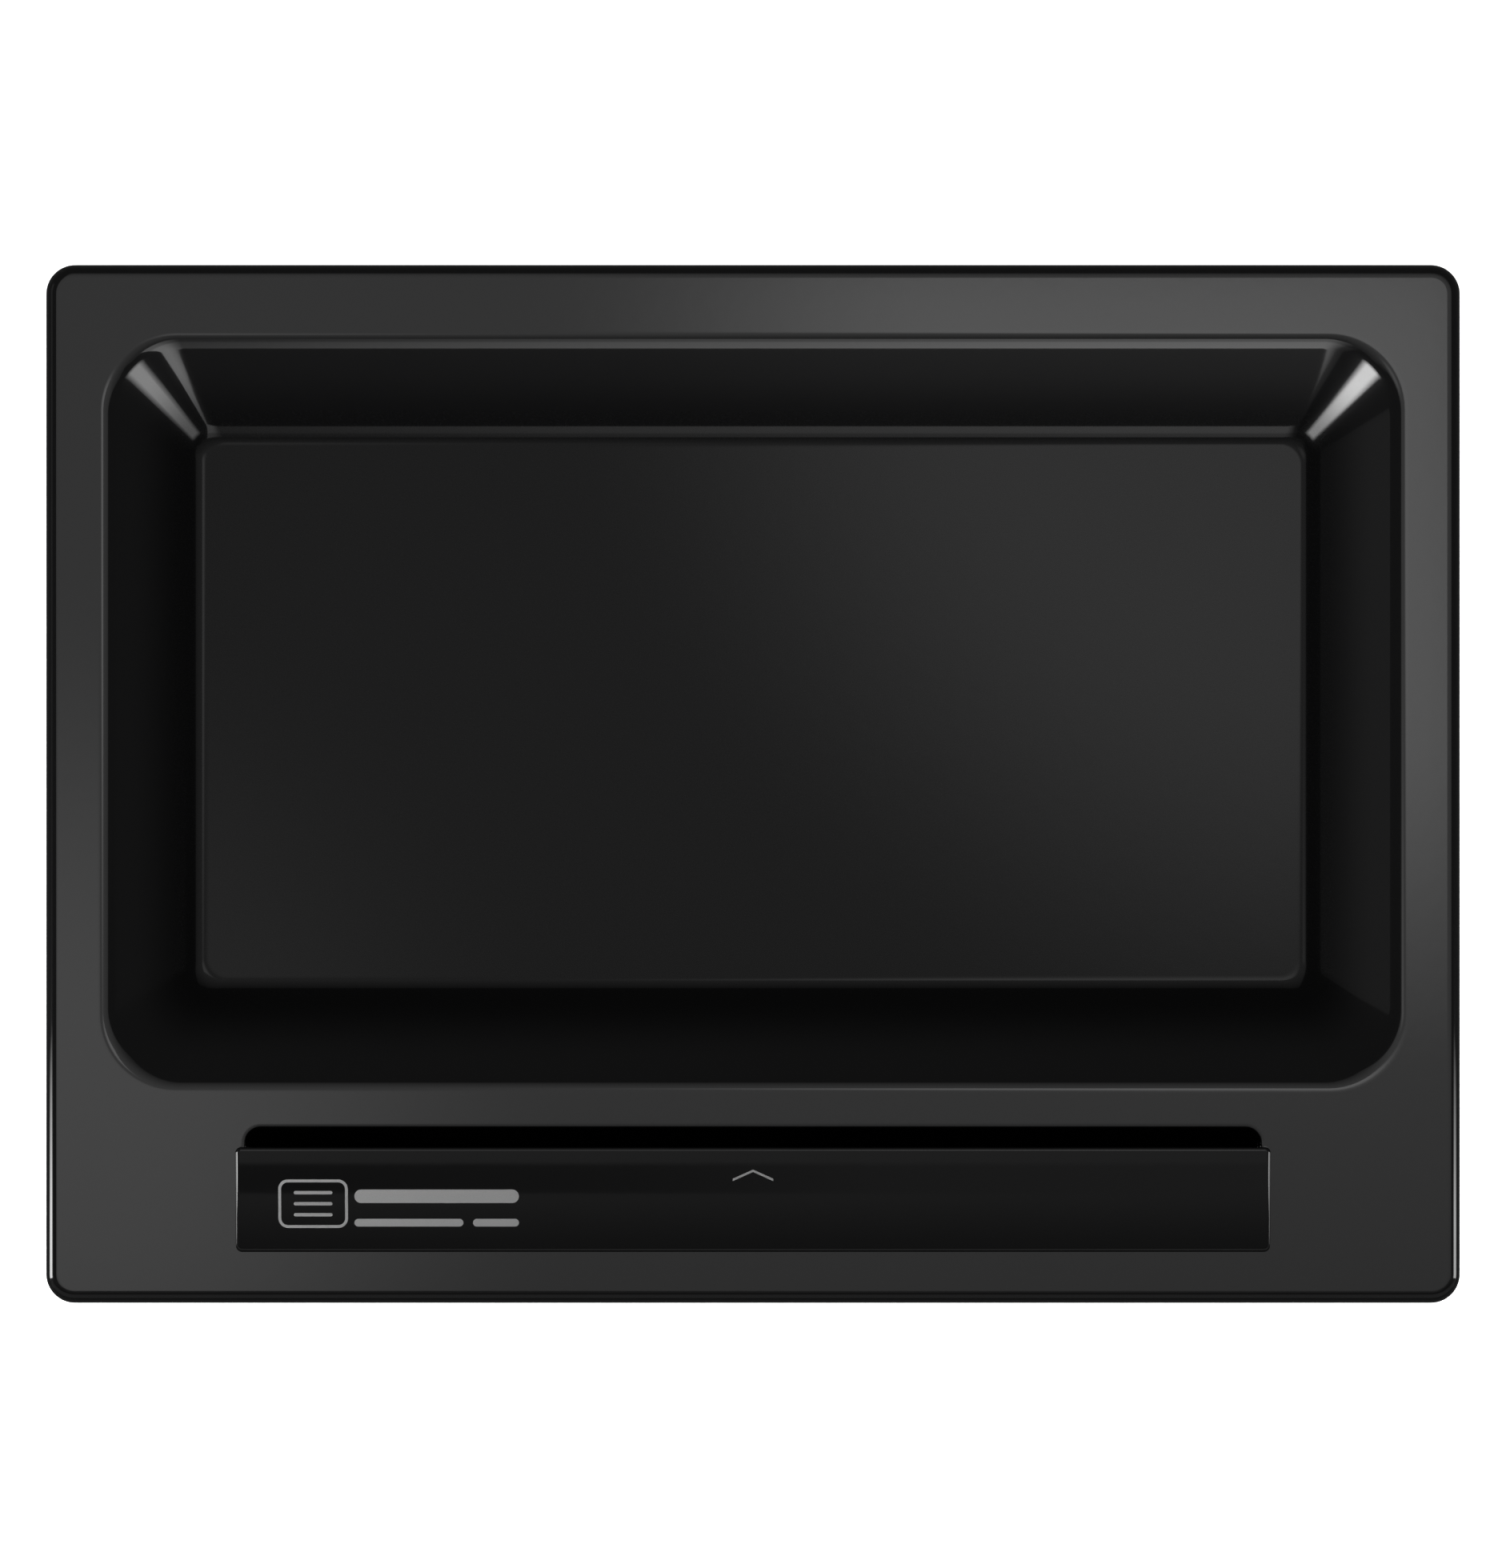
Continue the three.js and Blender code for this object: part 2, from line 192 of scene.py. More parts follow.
# %% A drawn pocket
def wall_slope(run, depth, mouth_radius, floor_radius):
    """The angle of the straight part, in radians."""
    excess = 2 * (mouth_radius + floor_radius) - depth
    return 2 * math.atan(depth / (run + math.sqrt(run * run - excess * depth)))


def inset_at(drop, run, depth, mouth_radius, floor_radius):
    """How far a wall has come in where it has dropped this far."""
    slope = wall_slope(run, depth, mouth_radius, floor_radius)
    mouth_drop = mouth_radius * (1 - math.cos(slope))
    floor_rise = floor_radius * (1 - math.cos(slope))
    rise = max(depth - drop, 0)
    if drop < mouth_drop:
        return math.sqrt(drop * (2 * mouth_radius - drop))
    if rise < floor_rise:
        return run - math.sqrt(rise * (2 * floor_radius - rise))
    return mouth_radius * math.sin(slope) + (drop - mouth_drop) / math.tan(slope)


def add_pocket(bm, mouth, corners, runs, depth, radii, top):
    """Draws a pocket down from its mouth, closes its floor and returns the strip of flange around it."""
    half_width, front, rear = mouth
    mouth_radius, floor_radius = radii
    steepest = max(wall_slope(run, depth, *radii) for run in runs)
    turns = [steepest * i / FOLD_SEGMENTS for i in range(FOLD_SEGMENTS + 1)]
    drops = [mouth_radius * (1 - math.cos(turn)) for turn in turns]
    drops += [depth - floor_radius * (1 - math.cos(turn)) for turn in reversed(turns)]

    def plan_at(side, front_inset, rear_inset):
        corner = corners[0] + (corners[1] - corners[0]) * side / runs[0]
        return half_width - side, front + front_inset, rear - rear_inset, corner

    strip = add_loop(bm, plan_at(-SUPPORT, -SUPPORT, -SUPPORT), top)
    wall = []
    for drop in drops:
        insets = [inset_at(drop, run, depth, *radii) for run in runs]
        wall.append(add_loop(bm, plan_at(*insets), top - drop))
    inner = add_loop(bm, plan_at(*(run + SUPPORT for run in runs)), top - depth)
    join_loops(bm, [strip, *wall, inner])
    bmesh.ops.edgenet_fill(bm, edges=inner)
    print("steepest wall", round(math.degrees(steepest), 1), "degrees")
    return strip


# %% [markdown]
# ## The pan
#
# One stamping: a flat flange with a rolled rim, the basin, and the slot's edge turned down into a short
# collar that stiffens it and keeps a cut edge away from fingers. Its flat part is one face with two holes.
# A bmesh face can't have holes, so the three loops around the flat part are filled with triangles last,
# when their folds are already rolled. The part is flat, so the triangles don't show.

# %% Pan
SHEET = 1.2 * MM
OUTER_CORNER = 12 * MM
RIM_BEND = 4.6 * MM
RIM_DROP = 10 * MM
CUT_EDGE = 0.4 * MM

GRIP_FROM_FRONT = 21.5 * MM
GRIP_DEPTH = 43.6 * MM
GRIP_HALF_WIDTH = 212.3 * MM
SLOT_WIDTH = 8.6 * MM
SLOT_TO_BASIN = 14.4 * MM
SLOT_INSIDE_GRIP = 1.2 * MM
SLOT_UNDER_FRONT = 6.2 * MM
SLOT_CORNER = 7.3 * MM
grip_front = pan_low[1] + GRIP_FROM_FRONT
opening = (
    GRIP_HALF_WIDTH - SLOT_INSIDE_GRIP, grip_front + SLOT_UNDER_FRONT,
    grip_front + GRIP_DEPTH + SLOT_WIDTH, SLOT_CORNER,
)

COLLAR_BEND = 1.4 * MM
COLLAR_SLOPE = math.radians(80)
COLLAR_STRAIGHT = 2.5 * MM
COLLAR_SEGMENTS = 6
COLLAR_BEAD = (0.3 * MM, 0.12 * MM)    # run and drop of the small roll that the enamel leaves along the foot

BASIN_DEPTH = 25 * MM
BASIN_SIDE_MARGIN = 22.3 * MM
BASIN_REAR_MARGIN = 28 * MM
BASIN_RUNS = [43.3 * MM, 46.4 * MM, 46.4 * MM]    # of the side, front and rear walls
BASIN_CORNERS = (31.5 * MM, 8.5 * MM)             # at the mouth and at the floor
BASIN_FILLETS = (12 * MM, 16 * MM)
basin_mouth = (pan_high[0] - BASIN_SIDE_MARGIN, opening[2] + SLOT_TO_BASIN, pan_high[1] - BASIN_REAR_MARGIN)


def make_pan():
    bm = bmesh.new()
    outline = (pan_high[0], pan_low[1], pan_high[1], OUTER_CORNER)
    rim_strip = add_loop(bm, grow(outline, -RIM_BEND - SUPPORT), flange_top)
    rim_fold = add_loop(bm, outline, flange_top)
    rim_foot = add_loop(bm, outline, flange_top - RIM_DROP)
    join_loops(bm, [rim_strip, rim_fold, rim_foot])
    roll_fold(bm, rim_fold, RIM_BEND)

    reach = COLLAR_BEND * math.tan(COLLAR_SLOPE / 2)
    inset = COLLAR_BEND * math.sin(COLLAR_SLOPE) + COLLAR_STRAIGHT * math.cos(COLLAR_SLOPE)
    drop = COLLAR_BEND * (1 - math.cos(COLLAR_SLOPE)) + COLLAR_STRAIGHT * math.sin(COLLAR_SLOPE)
    collar_strip = add_loop(bm, grow(opening, SUPPORT), flange_top)
    collar_fold = add_loop(bm, grow(opening, -reach), flange_top)
    collar_foot = add_loop(bm, grow(opening, -inset), flange_top - drop)
    collar_bead = add_loop(bm, grow(opening, -inset - COLLAR_BEAD[0]), flange_top - drop - COLLAR_BEAD[1])
    join_loops(bm, [collar_strip, collar_fold, collar_foot, collar_bead])
    roll_fold(bm, collar_fold, reach, segments=COLLAR_SEGMENTS)

    basin_strip = add_pocket(
        bm, basin_mouth, corners=BASIN_CORNERS, runs=BASIN_RUNS,
        depth=BASIN_DEPTH, radii=BASIN_FILLETS, top=flange_top,
    )
    flat = rim_strip + collar_strip + basin_strip
    bmesh.ops.triangle_fill(bm, edges=flat, use_beauty=True, normal=(0, 0, 1))
    face_up(bm)
    return make_sheet_piece("pan", bm, SHEET, CUT_EDGE)


pan = make_pan()

# %% [markdown]
# ## The finger trough
#
# A shallow drawn pocket, welded by its flat border under the flange. Its rear wall is a long slope, so that a
# finger slides forward under the grip. It is made as the basin is, with a border in place of the flange.

# %% Trough
TROUGH_BORDER_CORNER = 18.3 * MM
TROUGH_TAB = 6 * MM
TROUGH_DEPTH = 15 * MM
TROUGH_RUNS = [10 * MM, 10 * MM, 17 * MM]
TROUGH_FLOOR_CORNER = 5 * MM
TROUGH_FILLETS = (3 * MM, 5 * MM)
trough_border = (trough_high[0], trough_low[1], trough_high[1], TROUGH_BORDER_CORNER)


def make_trough():
    bm = bmesh.new()
    half_width, front, rear, corner = grow(trough_border, -TROUGH_TAB)
    edge = add_loop(bm, trough_border, trough_high[2])
    strip = add_pocket(
        bm, (half_width, front, rear), corners=(corner, TROUGH_FLOOR_CORNER), runs=TROUGH_RUNS,
        depth=TROUGH_DEPTH, radii=TROUGH_FILLETS, top=trough_high[2],
    )
    join_loops(bm, [edge, strip])
    face_up(bm)
    return make_sheet_piece("trough", bm, SHEET, CUT_EDGE)


trough = make_trough()

# %% [markdown]
# ## The grip
#
# A low wedge of the same sheet with its four edges turned down. It is made flat first: level loops run down
# the folds, each as far out on a side as that side's own bend is at that depth, and the innermost one is
# filled. Cuts across it give it rows, and every vertex is then raised by the crown's height at its row.
# Beveling the folds of a finished wedge is the other way, but where a tight fold and a wide one meet at a
# corner, the bevel tears. The rear edge stops at a lip, because fingers hook under it from the slot.

# %% Shape of the grip
GRIP_ROWS = 24
GRIP_FRONT_HEIGHT = 3 * MM
GRIP_REAR_HEIGHT = 10.7 * MM
GRIP_CROWN = 0.4 * MM
GRIP_BEND = 1.7 * MM
GRIP_REAR_BEND = 1.55 * MM
GRIP_CORNER = 0.8 * MM
GRIP_SUPPORT = 0.4 * MM
FOOT_SPREAD = 0.2 * MM
LIP = 4 * MM
POST = 2.5 * MM
GRIP_CUT_EDGE = 0.3 * MM
SEAM_GAP = 0.02 * MM
FOOT_FLAG = -1.0        # a height that only the foot's vertices have while the grip is still flat
REARWARD = 0.9          # a face belongs to the rear edge if its normal points back by at least this much
grip_rear = grip_front + GRIP_DEPTH
seam = flange_top + SEAM_GAP


def crown_height(y):
    """Height of the grip's top over the frame's zero at a place from front to rear."""
    along = (y - grip_front) / GRIP_DEPTH
    rise = (GRIP_REAR_HEIGHT - GRIP_FRONT_HEIGHT) * along
    return grip_foot + GRIP_FRONT_HEIGHT + rise + 4 * GRIP_CROWN * along * (1 - along)


def bend_inset(drop, radius):
    """How far a bend has gone out where it has dropped this far."""
    return radius if drop >= radius else math.sqrt(drop * (2 * radius - drop))


def add_grip_loop(bm, drop, spread=0.0):
    """A level loop of the grip's folds, this far under its top."""
    out = bend_inset(drop, GRIP_BEND) + spread
    out_rear = bend_inset(drop, GRIP_REAR_BEND) + spread
    plan = (
        GRIP_HALF_WIDTH + out, grip_front + GRIP_BEND - out,
        grip_rear - GRIP_REAR_BEND + out_rear, GRIP_CORNER + out,
    )
    return add_loop(bm, plan, -drop)


# %% Rows and lip of the grip
def cut_rows(bm, rows):
    """Cuts a flat shape across at each of these places from front to rear."""
    for row in rows:
        everything = bm.faces[:] + bm.edges[:] + bm.verts[:]
        bmesh.ops.bisect_plane(bm, geom=everything, plane_co=(0, row, 0), plane_no=(0, 1, 0))


def open_under_lip(bm):
    """Cuts the rear edge away below its lip, between two posts."""
    lip_bottom = crown_height(grip_rear) - LIP

    def rear_faces():
        return [
            face for face in bm.faces
            if face.normal.y > REARWARD and abs(face.calc_center_median().x) < GRIP_HALF_WIDTH
        ]

    planes = [((0, 0, lip_bottom), (0, 0, 1))]
    planes += [((side * (GRIP_HALF_WIDTH - POST), 0, 0), (1, 0, 0)) for side in (-1, 1)]
    for place, normal in planes:
        faces = rear_faces()
        edges = {edge for face in faces for edge in face.edges}
        verts = {vert for face in faces for vert in face.verts}
        bmesh.ops.bisect_plane(bm, geom=[*faces, *edges, *verts], plane_co=place, plane_no=normal)
    below = []
    for face in rear_faces():
        middle = face.calc_center_median()
        if middle.z < lip_bottom and abs(middle.x) < GRIP_HALF_WIDTH - POST:
            below.append(face)
    bmesh.ops.delete(bm, geom=below, context="FACES")


def make_grip():
    bm = bmesh.new()
    turns = [math.pi / 2 * i / FOLD_SEGMENTS for i in range(1, FOLD_SEGMENTS + 1)]
    drops = [GRIP_BEND * (1 - math.cos(turn)) for turn in turns]
    edge = add_grip_loop(bm, 0)
    inner = add_grip_loop(bm, 0, spread=-GRIP_SUPPORT)
    foot = add_grip_loop(bm, 2 * GRIP_BEND, spread=FOOT_SPREAD)
    foot_verts = {vert for loop_edge in foot for vert in loop_edge.verts}
    join_loops(bm, [inner, edge, *(add_grip_loop(bm, drop) for drop in drops), foot])
    bmesh.ops.edgenet_fill(bm, edges=inner)
    for vert in foot_verts:
        vert.co.z = FOOT_FLAG
    cut_rows(bm, [grip_front + GRIP_DEPTH * i / GRIP_ROWS for i in range(1, GRIP_ROWS)])
    for vert in bm.verts:
        at_foot = vert.co.z < FOOT_FLAG / 2
        vert.co.z = seam if at_foot else vert.co.z + crown_height(vert.co.y)
    face_up(bm)
    open_under_lip(bm)
    return make_sheet_piece("grip", bm, SHEET, GRIP_CUT_EDGE)


grip = make_grip()

# %% [markdown]
# ## The fired marks
#
# The marks are printed on the enamel and fired in, so they have almost no thickness. They could be painted in
# the grip's material with a mask, but then they would have no edge of their own. Here each is a flat
# outline, cut into rows, draped over the crown and made a few hundredths of a millimetre thick.

# %% Marks
INK_LIFT = 0.02 * MM
INK_THICKNESS = 0.05 * MM
DRAPE_STEP = 1.5 * MM
MARK_CORNER_SEGMENTS = 8
BAR_ROUNDING = 0.49     # of a bar's height: at a full half, the vertices at its ends would meet
FRAME_CORNER = 4 * MM
FRAME_STROKE = 1.2 * MM
ARROW_STROKE = 1.0 * MM


def drape(name, bm):
    """Cuts a flat shape into rows, lays it on the grip and makes it a thin piece."""
    heights = [vert.co.y for vert in bm.verts]
    strips = math.ceil((max(heights) - min(heights)) / DRAPE_STEP)
    cut_rows(bm, [min(heights) + DRAPE_STEP * i for i in range(1, strips)])
    for vert in bm.verts:
        vert.co.z = crown_height(vert.co.y) + INK_LIFT
    face_up(bm)
    flat = bm.faces[:]
    raised = bmesh.ops.extrude_face_region(bm, geom=flat)["geom"]
    top = [item for item in raised if isinstance(item, bmesh.types.BMVert)]
    bmesh.ops.translate(bm, vec=(0, 0, INK_THICKNESS), verts=top)
    bmesh.ops.recalc_face_normals(bm, faces=bm.faces)
    return link_mesh(name, bm)


def add_plate(bm, low, high, corner):
    """A flat rounded rectangle between two corners."""
    half_size = ((high[0] - low[0]) / 2, (high[1] - low[1]) / 2)
    centre = ((low[0] + high[0]) / 2, (low[1] + high[1]) / 2, 0)
    return add_rounded_face(bm, half_size, centre, corner, MARK_CORNER_SEGMENTS)


def make_bar_mark(node):
    """A bar with round ends, as long and as high as its CAD node."""
    low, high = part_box(node)
    bm = bmesh.new()
    add_plate(bm, low, high, BAR_ROUNDING * (high[1] - low[1]))
    return drape(node.replace("_mark", "_print"), bm)


def make_frame_mark(node):
    """A rounded frame: a plate inset by its stroke, with its middle taken out."""
    low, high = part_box(node)
    bm = bmesh.new()
    plate = add_plate(bm, low, high, FRAME_CORNER)
    bmesh.ops.inset_individual(bm, faces=[plate], thickness=FRAME_STROKE)
    bmesh.ops.delete(bm, geom=[plate], context="FACES")
    return drape("symbol_frame_print", bm)


def make_arrow_mark(node):
    """Two strokes that meet at a tip: a bent line, swept down by the stroke."""
    low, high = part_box(node)
    bm = bmesh.new()
    end_height = low[1] + ARROW_STROKE
    tip = ((low[0] + high[0]) / 2, high[1], 0)
    points = [(low[0], end_height, 0), tip, (high[0], end_height, 0)]
    verts = [bm.verts.new(point) for point in points]
    line = [bm.edges.new(pair) for pair in zip(verts, verts[1:])]
    swept = bmesh.ops.extrude_edge_only(bm, edges=line)["geom"]
    lower = [item for item in swept if isinstance(item, bmesh.types.BMVert)]
    bmesh.ops.translate(bm, vec=(0, -ARROW_STROKE, 0), verts=lower)
    return drape("grip_arrow_print", bm)


bar_nodes = ["title_bar_mark", "caption_bar_mark_1", "caption_bar_mark_2"]
bar_nodes += [f"symbol_bar_mark_{i}" for i in (1, 2, 3)]
marks = {node: make_bar_mark(node) for node in bar_nodes}
marks["symbol_frame_mark"] = make_frame_mark("symbol_frame_mark")
marks["grip_arrow_mark"] = make_arrow_mark("grip_arrow_mark")
print(len(marks), "marks")

# %% [markdown]
# ## The surface that both finishes share
#
# Enamel is glass that has melted and run a little, so it has a faint ripple like orange peel, and the marks
# fired into it share it. An effect that two materials use is built once, as a node group with named sockets.

# %% Ripple group
def add_node(tree, kind, **settings):
    """Adds a node and sets its properties and the values of its inputs."""
    node = tree.nodes.new(kind)
    for name, value in settings.items():
        if name in node.inputs:
            node.inputs[name].default_value = value
        else:
            setattr(node, name, value)
    return node


def make_ripple_group():
    group = bpy.data.node_groups.new("fired ripple", "ShaderNodeTree")
    sockets = {"Ripple Scale": "INPUT", "Mottle Scale": "INPUT", "Height": "OUTPUT", "Mottle": "OUTPUT"}
    for name, way in sockets.items():
        group.interface.new_socket(name, in_out=way, socket_type="NodeSocketFloat")
    entry = group.nodes.new("NodeGroupInput")
    result = group.nodes.new("NodeGroupOutput")
    place = group.nodes.new("ShaderNodeTexCoord")
    ripple = add_node(group, "ShaderNodeTexNoise", Detail=1.0)
    mottle = add_node(group, "ShaderNodeTexNoise", Detail=3.0)
    group.links.new(place.outputs["Object"], ripple.inputs["Vector"])
    group.links.new(place.outputs["Object"], mottle.inputs["Vector"])
    group.links.new(entry.outputs["Ripple Scale"], ripple.inputs["Scale"])
    group.links.new(entry.outputs["Mottle Scale"], mottle.inputs["Scale"])
    group.links.new(ripple.outputs["Fac"], result.inputs["Height"])
    group.links.new(mottle.outputs["Fac"], result.inputs["Mottle"])
    return group


ripple_group = make_ripple_group()


def start_material(name, ripple_scale, mottle_scale):
    """A new material with its Principled shader and the shared ripple."""
    material = bpy.data.materials.new(name)
    material.use_nodes = True
    tree = material.node_tree
    shader = tree.nodes["Principled BSDF"]
    ripple = tree.nodes.new("ShaderNodeGroup")
    ripple.node_tree = ripple_group
    ripple.inputs["Ripple Scale"].default_value = ripple_scale
    ripple.inputs["Mottle Scale"].default_value = mottle_scale
    return material, tree, shader, ripple


def link_range(tree, value, low, high, target, start=0.0, end=1.0):
    """Feeds a value, spread from one range to another, to a shader input."""
    spread = add_node(tree, "ShaderNodeMapRange", interpolation_type="SMOOTHSTEP")
    spread.inputs["From Min"].default_value = start
    spread.inputs["From Max"].default_value = end
    spread.inputs["To Min"].default_value = low
    spread.inputs["To Max"].default_value = high
    tree.links.new(value, spread.inputs["Value"])
    tree.links.new(spread.outputs["Result"], target)


def link_shade(tree, value, dark, light, target):
    """Feeds a colour between two shades to a shader input."""
    shade = add_node(tree, "ShaderNodeValToRGB")
    for element, colour in zip(shade.color_ramp.elements, (dark, light)):
        element.color = (*colour, 1)
    tree.links.new(value, shade.inputs["Fac"])
    tree.links.new(shade.outputs["Color"], target)


def link_relief(tree, height, distance, targets):
    """Feeds the relief of a height to the shader's normals."""
    bump = add_node(tree, "ShaderNodeBump", Strength=1.0, Distance=distance)
    tree.links.new(height, bump.inputs["Height"])
    for target in targets:
        tree.links.new(bump.outputs["Normal"], target)


# %% [markdown]
# ## Black enamel
#
# Nearly all that is seen of it is the reflection in its glaze. The glaze is the shader's coat, so that its
# weight can change over the surface: it is lowered on the basin's floor, which then mirrors less and looks
# darker than the flange, as painted shade in the recess. The change follows the height, because the floor
# is simply the low part.

# %% Enamel
RECESS_SHADE_GLAZE = 0.30      # weight of the glaze on the basin's floor, lowered there as painted shade, where the flange has 1
# the painted shade is full below the first depth and gone above the second
FULL_SHADE_UNDER = 22 * MM
NO_SHADE_ABOVE = 6 * MM    # both are depths under the flange


def make_enamel():
    material, tree, shader, ripple = start_material("black enamel", ripple_scale=140, mottle_scale=900)
    shader.inputs["Specular IOR Level"].default_value = 0.04
    shader.inputs["Coat IOR"].default_value = 1.5
    shader.inputs["Coat Roughness"].default_value = 0.06
    dark, light = (0.0008, 0.0008, 0.0009), (0.0022, 0.0022, 0.0024)
    link_shade(tree, ripple.outputs["Mottle"], dark, light, shader.inputs["Base Color"])
    link_range(tree, ripple.outputs["Mottle"], 0.2, 0.32, shader.inputs["Roughness"])
    place = add_node(tree, "ShaderNodeTexCoord")
    split = add_node(tree, "ShaderNodeSeparateXYZ")
    tree.links.new(place.outputs["Object"], split.inputs["Vector"])
    # painted shade: the glaze weight falls towards the basin's floor, so the recess mirrors less and looks
    # darker
    link_range(
        tree, split.outputs["Z"], RECESS_SHADE_GLAZE, 1.0, shader.inputs["Coat Weight"],
        start=flange_top - FULL_SHADE_UNDER, end=flange_top - NO_SHADE_ABOVE,
    )
    normals = [shader.inputs["Normal"], shader.inputs["Coat Normal"]]
    link_relief(tree, ripple.outputs["Height"], 4e-6, normals)
    return material


enamel = make_enamel()

# %% [markdown]
# ## Fired ink
#
# Grey glass powder, printed and melted into the black. It is satin rather than glossy, and its grey is a
# little uneven where the print is thinner.

# %% Ink
def make_ink():
    material, tree, shader, ripple = start_material("grey fired ink", ripple_scale=140, mottle_scale=2600)
    shader.inputs["Specular IOR Level"].default_value = 0.3
    dark, light = (0.6, 0.6, 0.6), (0.76, 0.76, 0.76)
    link_shade(tree, ripple.outputs["Mottle"], dark, light, shader.inputs["Base Color"])
    link_range(tree, ripple.outputs["Mottle"], 0.45, 0.6, shader.inputs["Roughness"])
    link_relief(tree, ripple.outputs["Mottle"], 1e-5, [shader.inputs["Normal"]])
    return material


ink = make_ink()

# %% Hand each piece over to the frame
def hand_over(piece, node, material):
    piece.data.materials.append(material)
    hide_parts(node)
    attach(piece, "root")


for piece, node in ((pan, "tray_pan"), (trough, "finger_trough"), (grip, "grip_plate")):
    hand_over(piece, node, enamel)
for node, piece in marks.items():
    hand_over(piece, node, ink)

# %% [markdown]
# ## The studio
#
# Black gloss is lit by what it mirrors, so each light here is a plane that glows, and its own pattern is what
# shows in the enamel. An area lamp glows evenly, which would give flat greys with hard ends. A plane's
# brightness is the product of two profiles, one across it and one up it, each a short ramp of stops.

# %% Glowing planes
def make_plane(name, left, right, low, high):
    """A plane that belongs to the studio, flat on the floor plane, between these limits."""
    bm = bmesh.new()
    half_size = ((right - left) / 2, (high - low) / 2)
    add_rectangle(bm, half_size, ((left + right) / 2, (low + high) / 2, 0))
    plane = link_mesh(name, bm)
    return plane


def add_profile(tree, value, stops):
    """Strength along one axis of a plane. Each stop pairs a place in metres with a share of full strength."""
    first, last = stops[0][0], stops[-1][0]
    spread = add_node(tree, "ShaderNodeMapRange")
    spread.inputs["From Min"].default_value = first
    spread.inputs["From Max"].default_value = last
    tree.links.new(value, spread.inputs["Value"])
    ramp = add_node(tree, "ShaderNodeValToRGB")
    elements = ramp.color_ramp.elements
    for _ in stops[2:]:
        elements.new(0.5)
    for element, (place, share) in zip(elements, stops):
        element.position = (place - first) / (last - first)
        element.color = (share, share, share, 1)
    tree.links.new(spread.outputs["Result"], ramp.inputs["Fac"])
    return ramp.outputs["Color"]


def combine(tree, operation, first, second):
    """A Math node over two values, of which the second may be a plain number."""
    node = add_node(tree, "ShaderNodeMath", operation=operation)
    tree.links.new(first, node.inputs[0])
    if isinstance(second, (int, float)):
        node.inputs[1].default_value = second
    else:
        tree.links.new(second, node.inputs[1])
    return node.outputs["Value"]


def start_glow(name, across, up, radiance):
    """A glowing plane as large as its two profiles, with its glow not linked yet."""
    plane = make_plane(name, across[0][0], across[-1][0], up[0][0], up[-1][0])
    plane.visible_camera = False
    material = bpy.data.materials.new(name)
    material.use_nodes = True
    tree = material.node_tree
    tree.nodes.remove(tree.nodes["Principled BSDF"])
    plane.data.materials.append(material)
    place = add_node(tree, "ShaderNodeTexCoord").outputs["Object"]
    split = add_node(tree, "ShaderNodeSeparateXYZ")
    tree.links.new(place, split.inputs["Vector"])
    profiles = add_profile(tree, split.outputs["X"], across), add_profile(tree, split.outputs["Y"], up)
    strength = combine(tree, "MULTIPLY", combine(tree, "MULTIPLY", *profiles), radiance)
    return plane, tree, place, strength


def finish_glow(tree, strength):
    """Feeds the strength to the plane's emission."""
    glow = add_node(tree, "ShaderNodeEmission")
    tree.links.new(strength, glow.inputs["Strength"])
    tree.links.new(glow.outputs["Emission"], tree.nodes["Material Output"].inputs["Surface"])


# %% [markdown]
# ## The overhead panel
#
# The flat flange and floor mirror what hangs straight above them. A wide soft panel hangs there, high up just
# below the camera. Two soft discs, one over the rear right and one over the front left, give the slow arcs of
# light across the flat faces. The brighter one, at the rear right, lies only on a patch no larger than what
# those faces mirror. On the whole panel it would also show as a bright line in every rounded edge, which
# mirrors the panel from side to side. The dimmer one, at the front left, runs over both.

# %% Overhead panel
PANEL_HEIGHT = 4.2
PANEL_RADIANCE = 0.74
PATCH_BELOW_PANEL = 0.01
PATCH_ACROSS = (-0.57, 0.57)
PATCH_UP = (-0.2, 0.42)
REAR_RIGHT_DISC = ((0.532, 0.444), 0.37, 0.715, 1.45)    # centre, full inside, gone outside, radiance
FRONT_LEFT_DISC = ((-0.578, -0.275), 0.11, 0.44, 0.65)


def add_disc(tree, place, strength, disc):
    """Adds a soft disc of light to a plane's strength."""
    centre, inner, outer, radiance = disc
    away = add_node(tree, "ShaderNodeVectorMath", operation="DISTANCE")
    away.inputs[1].default_value = (*centre, 0)
    tree.links.new(place, away.inputs[0])
    fade = add_node(tree, "ShaderNodeMapRange", interpolation_type="SMOOTHSTEP")
    fade.inputs["From Min"].default_value = inner
    fade.inputs["From Max"].default_value = outer
    fade.inputs["To Min"].default_value = radiance
    fade.inputs["To Max"].default_value = 0
    tree.links.new(away.outputs["Value"], fade.inputs["Value"])
    return combine(tree, "ADD", strength, fade.outputs["Result"])


def make_panel():
    panel, tree, place, strength = start_glow(
        "overhead panel",
        across=[(-1.2, 0.15), (-0.95, 1), (0.6, 1), (1.9, 0.75), (2.15, 0.6), (2.3, 0.15)],
        up=[
            (-1.24, 0.5), (-0.5, 0.76), (-0.4, 0.8), (-0.24, 1),
            (0.5, 0.95), (1.1, 0.75), (2.2, 0.4), (2.5, 0.15),
        ],
        radiance=PANEL_RADIANCE,
    )
    panel.location.z = PANEL_HEIGHT
    finish_glow(tree, add_disc(tree, place, strength, FRONT_LEFT_DISC))
    patch, tree, place, strength = start_glow(
        "bright patch", [(side, 1) for side in PATCH_ACROSS], [(end, 1) for end in PATCH_UP], PANEL_RADIANCE,
    )
    patch.location.z = PANEL_HEIGHT - PATCH_BELOW_PANEL
    strength = add_disc(tree, place, strength, FRONT_LEFT_DISC)
    finish_glow(tree, add_disc(tree, place, strength, REAR_RIGHT_DISC))


make_panel()

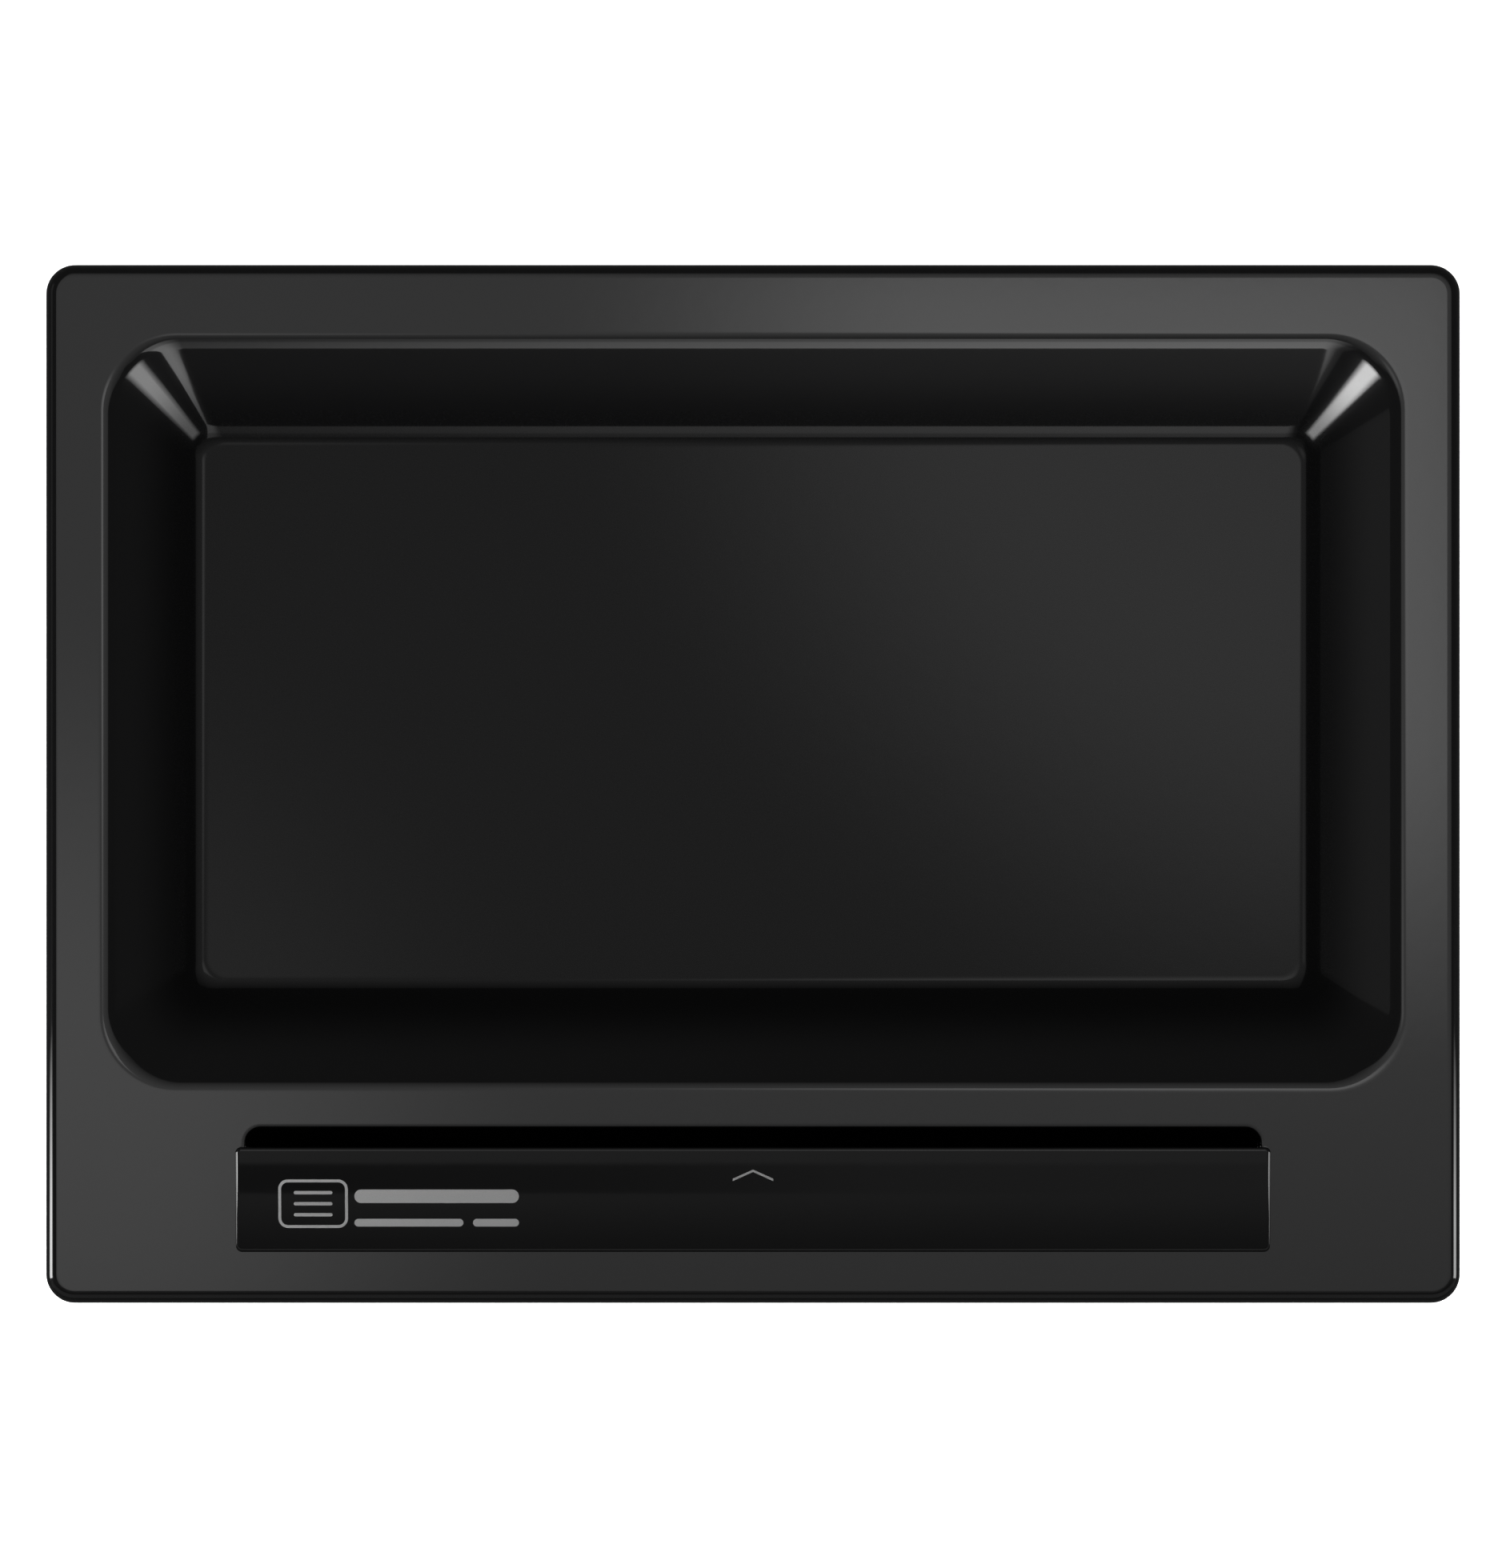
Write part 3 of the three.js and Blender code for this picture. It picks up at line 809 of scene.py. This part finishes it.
# %% [markdown]
# ## The low lights
#
# The steep faces mirror what stands low around the tray. A tall soft light far in front draws the bright band
# along the basin's rear edge, and a dim card over it gives the grip its grey. A dim flag stands just in front
# of the tray and hides that light from the grip, the front rim and the rear wall, which stay dark. Two narrow
# lights at the front corners draw the streaks in the basin's rear corners, two small ones close beside the
# grip draw a line along each of its ends, and a dim card on the left lifts the right wall a little.

# %% Low lights
SOFT_CORE = 0.45        # share of a soft strip that is at full strength


def add_light(name, target, azimuth, elevation, distance, across, up, radiance):
    """A glowing plane that faces a target. Azimuth 0 is the front, turning to the tray's right."""
    turn, rise = math.radians(azimuth), math.radians(elevation)
    away = Vector((
        math.sin(turn) * math.cos(rise), -math.cos(turn) * math.cos(rise), math.sin(rise),
    ))
    light, tree, _, strength = start_glow(name, across, up, radiance)
    light.location = Vector(target) + distance * away
    light.rotation_euler = away.to_track_quat("Z", "Y").to_euler()
    finish_glow(tree, strength)


def soft_strip(half):
    """A soft-edged profile that reaches this far to both sides."""
    return [(-half, 0), (-SOFT_CORE * half, 1), (SOFT_CORE * half, 1), (half, 0)]


def even(half):
    """An even profile that reaches this far to both sides."""
    return [(-half, 1), (half, 1)]


rear_edge = (0, 0.18, flange_top)
add_light(
    "front light", rear_edge, 0, 48, 4.5,
    across=[(-0.8, 0.08), (-0.447, 0.13), (0, 0.62), (0.2, 0.85), (0.445, 1), (0.9, 1)],
    up=[(-1.86, 0), (-1.82, 1), (0.3, 0.93), (0.6, 0.6), (1.38, 0.58), (1.42, 0.1)],
    radiance=3.0,
)
add_light("gap card", rear_edge, 0, 70.5, 4.5, even(1.4), even(0.4), 0.29)
before_rim = (0, pan_low[1] - 11 * MM, 0)
add_light(
    "flag", before_rim, 0, 0, 0, even(0.4),
    up=[(0.03, 0.35), (0.034, 1), (0.053, 1), (0.062, 0.33), (0.108, 0.46), (0.165, 0.77), (0.178, 0.8)],
    radiance=0.28,
)
add_light(
    "flag top", before_rim, 0, 0, 0,
    across=[(-0.4, 0.3), (-0.2, 0.35), (-0.05, 0.45), (0.05, 0.7), (0.25, 0.85), (0.4, 0.85)],
    up=[(0.178, 1), (0.235, 1)], radiance=0.28,
)
for side, radiance in ((-1, 14), (1, 5)):
    add_light(
        f"corner light {side}", (-side * 0.24, 0.17, flange_top), side * 45, 28, 2.4,
        soft_strip(0.42), soft_strip(0.75), radiance,
    )
for side, radiance in ((-1, 15), (1, 8)):
    add_light(
        f"grip light {side}", (side * 0.212, -0.17, flange_top + 5 * MM), side * 76, 20, 0.45,
        soft_strip(0.16), soft_strip(0.14), radiance,
    )
add_light(
    "left card", (0.25, 0.03, flange_top), -90, 20, 1.3,
    across=[(-0.5, 1), (-0.4, 1), (0.4, 0.45), (0.5, 0.4)], up=[(-0.14, 1), (0.14, 1)], radiance=0.3,
)

# %% [markdown]
# ## Floor and surroundings
#
# The tray lies on a plain white sweep that glows as a light table does, so no shadow frames it. The gloss
# doesn't mirror the sweep, which would frame the rolled rim in white. From below the sweep lets the view
# through, so that the underside can be looked at.

# %% Floor and world
SWEEP = 12
SWEEP_DROP = 0.2 * MM
SURROUNDINGS = (0.11, 0.11, 0.11, 1)


def make_floor():
    floor = make_plane("floor", -SWEEP, SWEEP, -SWEEP, SWEEP)
    floor.location.z = -SWEEP_DROP
    floor.visible_glossy = False
    material = bpy.data.materials.new("white sweep")
    material.use_nodes = True
    tree = material.node_tree
    shader = tree.nodes["Principled BSDF"]
    shader.inputs["Base Color"].default_value = (0.9, 0.9, 0.9, 1)
    shader.inputs["Roughness"].default_value = 0.9
    shader.inputs["Emission Color"].default_value = (1, 1, 1, 1)
    shader.inputs["Emission Strength"].default_value = 1.0
    see_through = add_node(tree, "ShaderNodeBsdfTransparent")
    side = add_node(tree, "ShaderNodeNewGeometry")
    choice = add_node(tree, "ShaderNodeMixShader")
    tree.links.new(side.outputs["Backfacing"], choice.inputs["Fac"])
    tree.links.new(shader.outputs["BSDF"], choice.inputs[1])
    tree.links.new(see_through.outputs["BSDF"], choice.inputs[2])
    tree.links.new(choice.outputs["Shader"], tree.nodes["Material Output"].inputs["Surface"])
    floor.data.materials.append(material)


make_floor()
world = bpy.data.worlds.new("studio")
world.use_nodes = True
world.node_tree.nodes["Background"].inputs["Color"].default_value = SURROUNDINGS
bpy.context.scene.world = world
bpy.context.scene.view_settings.view_transform = "Standard"
